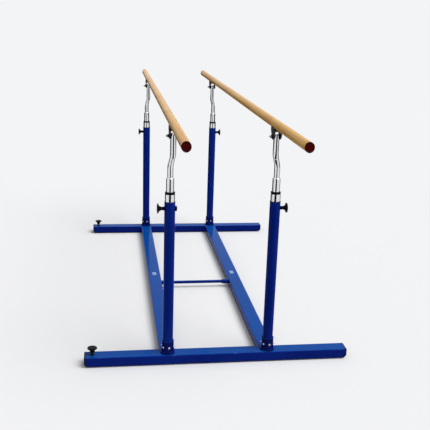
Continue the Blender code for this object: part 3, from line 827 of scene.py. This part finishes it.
low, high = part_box("front_right_socket")
post_low, post_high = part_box("front_right_post")
post_radius = half_of("front_right_post").y
bore = post_radius + SEAT_GAP
rim = bore + SOCKET_WALL
flange = half_of("front_right_socket").x
rise = high.z - beam_top - SOCKET_FLANGE


def flare_radius(angle):
    """Radius of the shoe at an angle of its flare, from 0 at the rim to a quarter turn at the flange."""
    return rim + (flange - rim) * (1 - math.cos(angle)) ** FLARE_POWER


flare = [(flare_radius(angle), high.z - rise * math.sin(angle)) for angle in quarter(24)]
shoe = lathe("socket_shoe", [(bore, high.z), *flare, (flange, low.z), (bore, low.z), (bore, high.z)],
             LARGE_ROUND)
ease(shoe, SOCKET_EDGE, 3, 40.0)
shade(shoe)
dome_foot = WASHER_THICKNESS + BUTTON_SIDE
dome_rise = BUTTON_HEIGHT - BUTTON_SIDE
dome = [(BUTTON * math.cos(t), dome_foot + dome_rise * math.sin(t)) for t in quarter(6)[:-1]]
button = lathe("socket_screw", [(0, dome[-1][1]), *dome[::-1], (BUTTON, WASHER_THICKNESS),
                                (WASHER, WASHER_THICKNESS), (WASHER, -WASHER_ROOT), (0, -WASHER_ROOT)],
               FINE_ROUND)
ease(button, BUTTON_EDGE, angle=50.0)
cut(button, rod("hex_recess", HEX_RADIUS, WASHER_THICKNESS + HEX_FLOOR, DRILL, sides=6))
shade(button)
screw_seat = flare_radius(math.asin((high.z - beam_top - SCREW_ROW) / rise)) - SCREW_SINK
heads = []
for i in range(SCREW_COUNT):
    round_post = 2 * math.pi * i / SCREW_COUNT + SCREW_TURN
    spot = (screw_seat * math.sin(round_post), -screw_seat * math.cos(round_post), beam_top + SCREW_ROW)
    heads.append(twin(button, "socket_screw", spot, (math.pi / 2, 0, round_post)))
heads = gather("socket_screws", heads)
discard(button)
# A darker copy of the enamel: painted shade at the foot of each post.
shaded_shoe_enamel = enamel("shaded_shoe_enamel", (SHADED_SHOE_BLUE, SHADED_SHOE_BLUE_DEEP))
set_on_uprights(shoe, "shoe", shaded_shoe_enamel, "base", "socket")
set_on_uprights(heads, "shoe_screws", zinc_finish, "base")

# Posts
# Round steel tubes, enamelled like the base, stand in the sockets.  A dark tapped boss for the clamp screw
# is welded on the outer side near the top.  The front left post has a blank stud on its inner side too.
POST_WALL = 0.0025
POST_EDGE = 0.0006
POST_LOOP = 0.019              # edge loops above and below the boss
BOSS_RADIUS = 0.0095
BOSS_FILLET = 0.003
FILLET_HOLLOW = 0.3            # share of the fillet left at its middle
BOSS_EDGE = 0.0008
BOSS_ROOT = 0.004              # under the surface of the post
BOSS_OVERLAP = 0.001           # what is left of the root in the wall of the post
BOSS_BLUE = (0.0016, 0.0028, 0.0240, 1.0)
BOSS_BLUE_DEEP = (0.0012, 0.0022, 0.0190, 1.0)
CLAMP_HOLE = 0.0054
STUD_RADIUS = 0.0135
STUD_ROUND = 0.0055

clamp_height = middle_of("front_right_clamp_screw").z
post_bore = post_radius - POST_WALL
tall = lathe("post_tube", [(0, post_high.z), (post_radius, post_high.z),
                           (post_radius, clamp_height + POST_LOOP), (post_radius, clamp_height - POST_LOOP),
                           (post_radius, post_low.z), (0, post_low.z)], LARGE_ROUND)
ease(tall, POST_EDGE)
cut(tall, rod("post_bore", post_bore, post_low.z - DRILL, post_high.z + DRILL, sides=ROUND))
boss_end = post_high.x - upright.x
root = post_radius - BOSS_ROOT
hollow = FILLET_HOLLOW * BOSS_FILLET
boss = lathe("clamp_boss", [(0, boss_end), (BOSS_RADIUS, boss_end), (BOSS_RADIUS, post_radius + BOSS_FILLET),
                            (BOSS_RADIUS + hollow, post_radius + hollow),
                            (BOSS_RADIUS + BOSS_FILLET, post_radius - BOSS_ROOT / 2),
                            (BOSS_RADIUS + BOSS_FILLET, root), (0, root)])
ease(boss, BOSS_EDGE, 3, 50.0)
settle(boss, (0, 0, clamp_height), ALONG_X)
post_room = post_radius - BOSS_OVERLAP
cut(boss, rod("post_room", post_room, post_low.z, post_high.z, sides=ROUND))
for piece in (tall, boss):
    cut(piece, rod("clamp_hole", CLAMP_HOLE, 0, DRILL, "X", (0, 0, clamp_height), FINE_ROUND))
    shade(piece)
boss_enamel = enamel("boss_enamel", (BOSS_BLUE, BOSS_BLUE_DEEP))
set_on_uprights(tall, "post_tube", plain_enamel, "base", "post", faces_out=True)
set_on_uprights(boss, "clamp_boss", boss_enamel, "base", faces_out=True)
stud_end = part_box("front_left_post")[1].x + upright.x
stud = lathe("front_left_blank_stud", [(0, stud_end), (STUD_RADIUS, stud_end), (STUD_RADIUS, root),
                                       (0, root)], SMALL_ROUND)
ease(stud, STUD_ROUND, 6)
settle(stud, (0, 0, clamp_height), ALONG_X)
cut(stud, rod("post_room", post_room, post_low.z, post_high.z, sides=ROUND))
shade(stud)
settle(stud, (-upright.x, upright.y, 0))
dress(stud, boss_enamel, "base")

# Guide collars
# Chromed steel bushes pressed into the post tops.  Each stands up out of its post and guides the
# sliding tube.
CHROME = (0.78, 0.79, 0.80, 1.0)
CHROME_DULL = (0.62, 0.63, 0.65, 1.0)
TUBE_RADIUS = 0.0195
GUIDE_GAP = 0.0008
COLLAR_EDGE = 0.0006

chrome, plating = new_finish("chrome_plate")
drawn = plating.noise(700.0, 3.0, 0.6, (1.0, 1.0, 0.012))
marks = plating.noise(55.0, 5.0, 0.6).step(0.50, 0.78)
plating.surface({"Base Color": (marks * 0.5).tint(CHROME, CHROME_DULL), "Metallic": 1.0,
                 "Roughness": 0.05 + marks * 0.10 + drawn * 0.03,
                 "Normal": plating.bump(drawn, 0.04, 0.0002)})

low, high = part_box("front_right_collar")
collar_radius = half_of("front_right_collar").y
guide_bore = TUBE_RADIUS + GUIDE_GAP
shelf = post_high.z + SEAT_GAP
spigot = post_bore - SEAT_GAP
collar = lathe("guide_collar", [(guide_bore, high.z), (collar_radius, high.z), (collar_radius, shelf),
                                (spigot, shelf), (spigot, low.z), (guide_bore, low.z), (guide_bore, high.z)],
               LARGE_ROUND)
ease(collar, COLLAR_EDGE, 3)
shade(collar)
set_on_uprights(collar, "guide_collar", chrome, "base", "collar")

# Post seals
# A flat ring of black rubber lies on the rim of each post, round the collar.  It keeps dust and sweat out
# of the press fit.
SEAL_HEIGHT = 0.0035
SEAL_EDGE = 0.0008

seal = lathe("post_seal", ring_outline(collar_radius + SEAT_GAP, post_radius, shelf, shelf + SEAL_HEIGHT),
             LARGE_ROUND)
ease(seal, SEAL_EDGE, 3)
shade(seal)
set_on_uprights(seal, "post_seal", rubber_finish, "base")

# Guide rings
# A black plastic wiper ring with a rounded shoulder sits on each collar and keeps dirt out of the
# sliding fit.
RING_ROUND = 0.004
RING_EDGE = 0.0003
RING_GROOVE = 0.0006
RING_LEVELS = (0.0045, 0.0040, 0.0032, 0.0027)         # of the groove, above the foot of the ring

low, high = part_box("front_right_guide_ring")
ring_radius = half_of("front_right_guide_ring").y
edge = ring_radius - RING_ROUND
ledge = high.z - RING_ROUND
shoulder = [(edge + RING_ROUND * math.sin(t), ledge + RING_ROUND * math.cos(t)) for t in quarter(8)]
depths = (0, RING_GROOVE, RING_GROOVE, 0)
groove = [(ring_radius - depth, low.z + level) for depth, level in zip(depths, RING_LEVELS)]
ring = lathe("wiper_ring", [(guide_bore, high.z), *shoulder, *groove, (ring_radius, low.z),
                            (guide_bore, low.z), (guide_bore, high.z)], LARGE_ROUND)
ease(ring, RING_EDGE, angle=50.0)
shade(ring)
set_on_uprights(ring, "wiper_ring", black_plastic, "base", "guide_ring")

# Clamp screws
# A slimmer knob of the same moulding, on a shorter screw, goes through the boss of each post and presses
# on the sliding tube.
CLAMP_NECK = 0.0085
CLAMP_EDGE = 0.0005
SHANK_RADIUS = 0.005
SHANK_TIP = 0.001

low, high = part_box("front_right_clamp_screw")
base = high.x - KNOB_LENGTH
tip = low.x - base
shank = [(SHANK_RADIUS, 0), (SHANK_RADIUS, tip + SHANK_TIP), (SHANK_RADIUS - SHANK_TIP, tip), (0, tip)]
clamp = lathe("clamp_knob", knob_outline(CLAMP_NECK) + shank)
ease(clamp, CLAMP_EDGE, 3)
shade(clamp)
settle(clamp, (base - upright.x, 0, clamp_height), ALONG_X)
set_on_uprights(clamp, "clamp_knob", black_plastic, "{}_clamp", "clamp_screw",
                faces_out=True)

# Sliding tubes
# Chromed steel tubes slide in the posts and set the height of the bars.  The lower end is left wide to
# run in the post, and the top is chamfered round the neck.
LAND = 0.030
TUBE_CHAMFER = 0.002
TUBE_BORE = 0.0165
TUBE_EDGE = 0.0005
NECK_SEAT = 0.040
NECK_RADIUS = 0.0145

tube_low, tube_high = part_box("front_right_inner_tube")
land_radius = half_of("front_right_inner_tube").y
land_top = tube_low.z + LAND
neck_bore = NECK_RADIUS + SEAT_GAP
neck_foot = tube_high.z - NECK_SEAT
tube = lathe("sliding_tube", [
    (neck_bore, tube_high.z), (TUBE_RADIUS - TUBE_CHAMFER, tube_high.z),
    (TUBE_RADIUS, tube_high.z - TUBE_CHAMFER), (TUBE_RADIUS, land_top + land_radius - TUBE_RADIUS),
    (land_radius, land_top), (land_radius, tube_low.z), (TUBE_BORE, tube_low.z), (TUBE_BORE, neck_foot),
    (neck_bore, neck_foot), (neck_bore, tube_high.z)], LARGE_ROUND)
ease(tube, TUBE_EDGE, 3)
shade(tube)
set_on_uprights(tube, "sliding_tube", chrome, "{}_piston", "inner_tube")

# Necks
# A chromed round bar in the top of each tube bends inwards to come under the wooden bar.  Its head is
# slotted from front to back, down to a relief hole, and cross drilled for the yoke bolt.
NECK_STRAIGHT = 0.050
NECK_BEND = 0.075
NECK_EDGE = 0.0012
HEAD_TOP = 0.012
SLOT_WIDTH = 0.006
SLOT_DEPTH = 0.110
RELIEF = 0.0045
PIVOT_HOLE = 0.0054
BEND_STEPS = 32
BEND_ANGLE = 30.0

neck_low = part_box("front_right_neck")[0].z
pivot_height = middle_of("front_right_pivot_bolt").z
bar_run = middle_of("front_right_yoke").x
offset = bar_run - upright.x
bend_foot = tube_high.z + NECK_STRAIGHT
shares = [i / BEND_STEPS for i in range(BEND_STEPS + 1)]
bend = [(offset * (1 - math.cos(math.pi * share)) / 2, bend_foot + NECK_BEND * share) for share in shares]
clear_selection()
bpy.ops.mesh.primitive_circle_add(vertices=ROUND, radius=NECK_RADIUS, location=(0, 0, neck_low),
                                  fill_type="NGON")
bent = named("bent_neck")
edit(bent)
here = Vector((0, 0, neck_low))
for across, up in [*bend, (offset, pivot_height + HEAD_TOP)]:
    there = Vector((across, 0, up))
    bpy.ops.mesh.extrude_region_move(TRANSFORM_OT_translate={"value": there - here})
    here = there
bpy.ops.mesh.select_all(action="SELECT")
bpy.ops.mesh.normals_make_consistent(inside=False)
leave_edit()
ease(bent, NECK_EDGE, 3)
slot_foot = pivot_height - SLOT_DEPTH
cut(bent, block("neck_slot", (offset - SLOT_WIDTH / 2, -DRILL, slot_foot),
                (offset + SLOT_WIDTH / 2, DRILL, pivot_height + 2 * HEAD_TOP)))
cut(bent, rod("relief_hole", RELIEF, -DRILL, DRILL, "Y", (offset, 0, slot_foot)))
cut(bent, rod("pivot_hole", PIVOT_HOLE, -DRILL, DRILL, "X", (offset, 0, pivot_height), FINE_ROUND))
shade(bent, BEND_ANGLE)
set_on_uprights(bent, "bent_neck", chrome, "{}_piston", "neck", faces_out=True)

# Slot strips
# A strip of dark red fibre fills the slot of each neck below the bolt, so that the two halves of the
# head don't ring.
STRIP_GAP = 0.0001
STRIP_HALF = 0.0115
STRIP_EDGE = 0.0006
BOLT_ROOM = 0.0075
FIBRE = (0.0420, 0.0120, 0.0100, 1.0)
FIBRE_DARK = (0.0200, 0.0070, 0.0060, 1.0)
FIBRE_SHINE = 0.2

fibre_finish, pressed = new_finish("red_fibre")
layers = pressed.noise(500.0, 4.0, 0.6, (1.0, 0.2, 0.05))
pressed.surface({"Base Color": layers.tint(FIBRE_DARK, FIBRE), "Roughness": 0.60 + layers * 0.1,
                 "Specular IOR Level": FIBRE_SHINE, "Normal": pressed.bump(layers, 0.2, 0.0003)})

half = SLOT_WIDTH / 2 - STRIP_GAP
strip = block("slot_strip", (offset - half, -STRIP_HALF, slot_foot),
              (offset + half, STRIP_HALF, pivot_height - BOLT_ROOM))
ease(strip, STRIP_EDGE)
shade(strip)
set_on_uprights(strip, "slot_strip", fibre_finish, "{}_piston", faces_out=True)

# Yokes
# Bent and machined black steel saddles under the bars.  A cradle takes the wood, two cheeks hang down
# on both sides of the neck, and two wood screws hold the saddle to the bar.
CHEEK_THICKNESS = 0.006
CHEEK_RADIUS = 0.015
CRADLE_SIDE = 0.018
CRADLE_WEB = 0.006
CRADLE_ROUND = 128
YOKE_EDGE = 0.0009
BOLT_HOLE = 0.0053
BAR_WIDTH = 0.042
BAR_DEPTH = 0.046
SCREW_REACH = 0.029
SCREW_SECTION = [(0, -0.0026), (0.0020, -0.0025), (0.0036, -0.0017), (0.0042, -0.0006), (0.0042, 0),
                 (0.0022, 0), (0.0022, 0.012), (0, 0.014)]     # half section, head down
DRIVER_SLOT = 0.001
DRIVER_FLOOR = -0.0014


def oval_rod(name, half, middle, sides=LARGE_ROUND):
    """A new rod of oval section along Y, of half sizes about a middle, to cut or to work on."""
    clear_selection()
    bpy.ops.mesh.primitive_cylinder_add(vertices=sides, radius=1.0, depth=2 * half.y, location=middle,
                                        rotation=(math.pi / 2, 0, 0), scale=(half.x, half.z, 1))
    return named(name)


def set_on_pivots(pattern, label, finish, node=None, turn=(0, 0, 0)):
    """A dressed copy of a pattern at each pivot, named after its upright, that moves with the bar."""
    for name, foot, outward in upright_places():
        side = name.split("_")[1]
        copy = twin(pattern, f"{name}_{label}", (outward * bar_run, foot.y, pivot_height), turn)
        dress(copy, finish, f"{side}_bar_set", node and f"{name}_{node}")
    discard(pattern)


yoke = half_of("front_right_yoke")
rim_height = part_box("front_right_yoke")[1].z - pivot_height
bar_height = middle_of("right_bar").z - pivot_height
gap = yoke.x - CHEEK_THICKNESS
web = bar_height - BAR_DEPTH / 2 - SEAT_GAP - CRADLE_WEB
saddle = rod("bar_yoke", CHEEK_RADIUS, -yoke.x, yoke.x, "X", sides=LARGE_ROUND)
cradle = block("cradle", (-yoke.x, -yoke.y, rim_height - CRADLE_SIDE), (yoke.x, yoke.y, rim_height))
saddle = gather("bar_yoke", [saddle, cradle])
edit(saddle)
bpy.ops.mesh.convex_hull()
leave_edit()
cut(saddle, block("cheek_gap", (-gap, -DRILL, -DRILL), (gap, DRILL, web)))
room = Vector((BAR_WIDTH / 2 + SEAT_GAP, DRILL, BAR_DEPTH / 2 + SEAT_GAP))
cut(saddle, oval_rod("bar_seat", room, (0, 0, bar_height), CRADLE_ROUND))
cut(saddle, rod("bolt_hole", BOLT_HOLE, -DRILL, DRILL, "X", sides=FINE_ROUND))
ease(saddle, YOKE_EDGE, 3, 40.0)
shade(saddle)
screw = lathe("wood_screw", SCREW_SECTION, FINE_ROUND)
cut(screw, block("driver_slot", (-DRIVER_SLOT / 2, -DRILL, -DRILL), (DRIVER_SLOT / 2, DRILL, DRIVER_FLOOR)))
shade(screw)
screws = [twin(screw, "wood_screw", (0, way * SCREW_REACH, web)) for way in ENDS.values()]
discard(screw)
set_on_pivots(saddle, "bar_yoke", black_steel, "yoke")
set_on_pivots(gather("yoke_screws", screws), "yoke_screws", zinc_finish)

# Yoke bolts
# A zinc plated cross bolt goes through both cheeks and the head of the neck.  Its domed head is on the
# right and a black nut with the thread end on the left.
BOLT_RADIUS = 0.005
BOLT_HEAD_RADIUS = 0.0085
HEAD_LENGTH = 0.006
HEAD_SIDE = 0.002              # height of the head's straight side
RECESS_RADIUS = 0.0036
RECESS_FLOOR = 0.0025
NUT_LENGTH = 0.008
NUT_EDGE = 0.0005
NUT_FACE = 0.0009
NUT_CHAMFER = 0.0016
NUT_SINK = 0.0006
THREAD_START = 0.002
THREAD_END = 0.008
BOLT_TIP = 0.001
BOLT_TIP_TAPER = 0.0018

cheek = yoke.x + SEAT_GAP
nut_end = -cheek - NUT_LENGTH
bolt_end = nut_end - THREAD_END
dome_foot = cheek + HEAD_SIDE
dome_rise = HEAD_LENGTH - HEAD_SIDE
dome = [(BOLT_HEAD_RADIUS * math.cos(t), dome_foot + dome_rise * math.sin(t)) for t in quarter(8)[:-1]]
thread = thread_outline(BOLT_RADIUS, bolt_end + BOLT_TIP, -cheek - THREAD_START)
cross_bolt = lathe("cross_bolt", [(0, cheek + HEAD_LENGTH), *dome[::-1], (BOLT_HEAD_RADIUS, cheek),
                                  (BOLT_RADIUS, cheek), (BOLT_RADIUS, -cheek), *thread,
                                  (BOLT_RADIUS - BOLT_TIP_TAPER, bolt_end), (0, bolt_end)], SMALL_ROUND)
cut(cross_bolt, rod("bolt_recess", RECESS_RADIUS, cheek + RECESS_FLOOR, cheek + DRILL, sides=6))
shade(cross_bolt)
nut = rod("cross_nut", BOLT_HEAD_RADIUS, nut_end, -cheek, sides=6)
edit(nut)
pick("FACE", lambda face: face.normal.z < -0.9)
bpy.ops.mesh.inset(thickness=NUT_FACE, depth=0.0)
bpy.ops.mesh.inset(thickness=NUT_CHAMFER, depth=-NUT_SINK)
leave_edit()
cut(nut, rod("nut_bore", BOLT_RADIUS, -DRILL, DRILL))
ease(nut, NUT_EDGE, angle=40.0)
shade(nut)
set_on_pivots(cross_bolt, "cross_bolt", zinc_finish, "pivot_bolt", ALONG_X)
set_on_pivots(nut, "cross_nut", black_steel, turn=ALONG_X)

# Wooden bars
# Oval bars of pale straight-grained wood, glued up round a fibreglass core, sanded smooth and oiled to a
# soft sheen.
WOOD_PALE = (0.870, 0.525, 0.122, 1.0)
WOOD_WARM = (0.735, 0.325, 0.045, 1.0)
WOOD_DARK = (0.440, 0.160, 0.022, 1.0)
WOOD_RINGS = [(0.32, WOOD_WARM), (0.50, WOOD_PALE), (0.72, WOOD_WARM)]
WOOD_SHINE = 0.045
BAR_EDGE = 0.0010

wood_finish, wood = new_finish("bar_wood")
figure = wood.noise(60.0, 3.0, 0.55, (1.0, 0.020, 1.0))
fibre = wood.noise(330.0, 4.0, 0.65, (1.0, 0.006, 1.0))
pores = wood.noise(1100.0, 2.0, 0.5, (1.0, 0.020, 1.0)).step(0.58, 0.70)
board = wood.node("ValToRGB", {"stops": WOOD_RINGS}, {"Fac": figure})
flush = wood.noise(7.0, 2.0, 0.5, (1.0, 0.6, 1.0)).step(0.44, 0.66)
board = (flush * 0.65).tint(board, WOOD_WARM)
grained = (fibre.step(0.46, 0.66) * 0.30).tint(board, WOOD_DARK)
grip = wood.noise(16.0, 5.0, 0.6).step(0.45, 0.75)
wood.surface({"Base Color": (pores * 0.30).tint(grained, WOOD_DARK),
              "Roughness": 0.20 + grip * 0.10 + pores * 0.1, "Specular IOR Level": WOOD_SHINE,
              "Normal": wood.bump(fibre * 0.6 - pores * 0.5, 0.12, 0.0003)})

middle = middle_of("right_bar")
oval = oval_rod("wooden_bar", half_of("right_bar"), (0, 0, middle.z))
ease(oval, BAR_EDGE, 3)
shade(oval)
for side, outward in SIDES.items():
    copy = twin(oval, f"{side}_wooden_bar", (outward * middle.x, 0, 0))
    dress(copy, wood_finish, f"{side}_bar_set", f"{side}_bar")
discard(oval)

# Bar cores
# A pultruded fibreglass rod is glued into each bar to keep it from breaking.  The solid itself is shown,
# and the end caps hide it.
GLASS = (0.52, 0.54, 0.42, 1.0)
GLASS_DEEP = (0.40, 0.42, 0.30, 1.0)

core_finish, glass = new_finish("fibreglass")
strands = glass.noise(1200.0, 3.0, 0.6, (1.0, 0.01, 1.0))
glass.surface({"Base Color": strands.tint(GLASS_DEEP, GLASS), "Roughness": 0.45 + strands * 0.1,
               "Normal": glass.bump(strands, 0.2, 0.0002)})
for side in SIDES:
    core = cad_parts[f"{side}_bar_core"]
    core.data.materials.clear()
    core.data.materials.append(core_finish)

# Bar end caps
# Moulded rubber caps close the ends of the bars: dark red faces, sunk a little inside a rounded rim, with
# the colour darkened almost to black towards the edge.
RED = (0.0780, 0.0012, 0.0024, 1.0)
RED_BLACK = (0.0060, 0.0012, 0.0015, 1.0)
RED_SHINE = 0.05
RIM_WIDTH = 0.0042
FACE_DEPTH = 0.0012
RUBBER_EDGE = 0.0012

middle = middle_of("front_right_bar_cap")
half = half_of("front_right_bar_cap")
cap_finish, red = new_finish("red_rubber")
aside = (abs(red.axis("X")) - middle.x) * (1 / half.x)
above = (red.axis("Z") - middle.z) * (1 / half.z)
darkened = (aside * aside + above * above).step(0.50, 0.80)
scuff = red.noise(140.0, 5.0, 0.65).step(0.40, 0.80)
red.surface({"Base Color": darkened.tint(RED, RED_BLACK), "Roughness": 0.48 + scuff * 0.2,
             "Specular IOR Level": RED_SHINE, "Normal": red.bump(red.noise(1300.0, 3.0), 0.22, 0.0003)})

plug = oval_rod("rubber_cap", half, (0, middle.y, middle.z))
edit(plug)
pick("FACE", lambda face: face.normal.y < -0.9)
bpy.ops.mesh.inset(thickness=RIM_WIDTH, depth=0.0)
bpy.ops.mesh.inset(thickness=FACE_DEPTH, depth=-FACE_DEPTH)
leave_edit()
ease(plug, RUBBER_EDGE, 4, 40.0)
shade(plug)
for end, way in ENDS.items():
    for side, outward in SIDES.items():
        copy = twin(plug, f"{end}_{side}_rubber_cap", (outward * middle.x, 0, 0), (0, 0, facing(-way)))
        dress(copy, cap_finish, f"{side}_bar_set", f"{end}_{side}_bar_cap")
discard(plug)
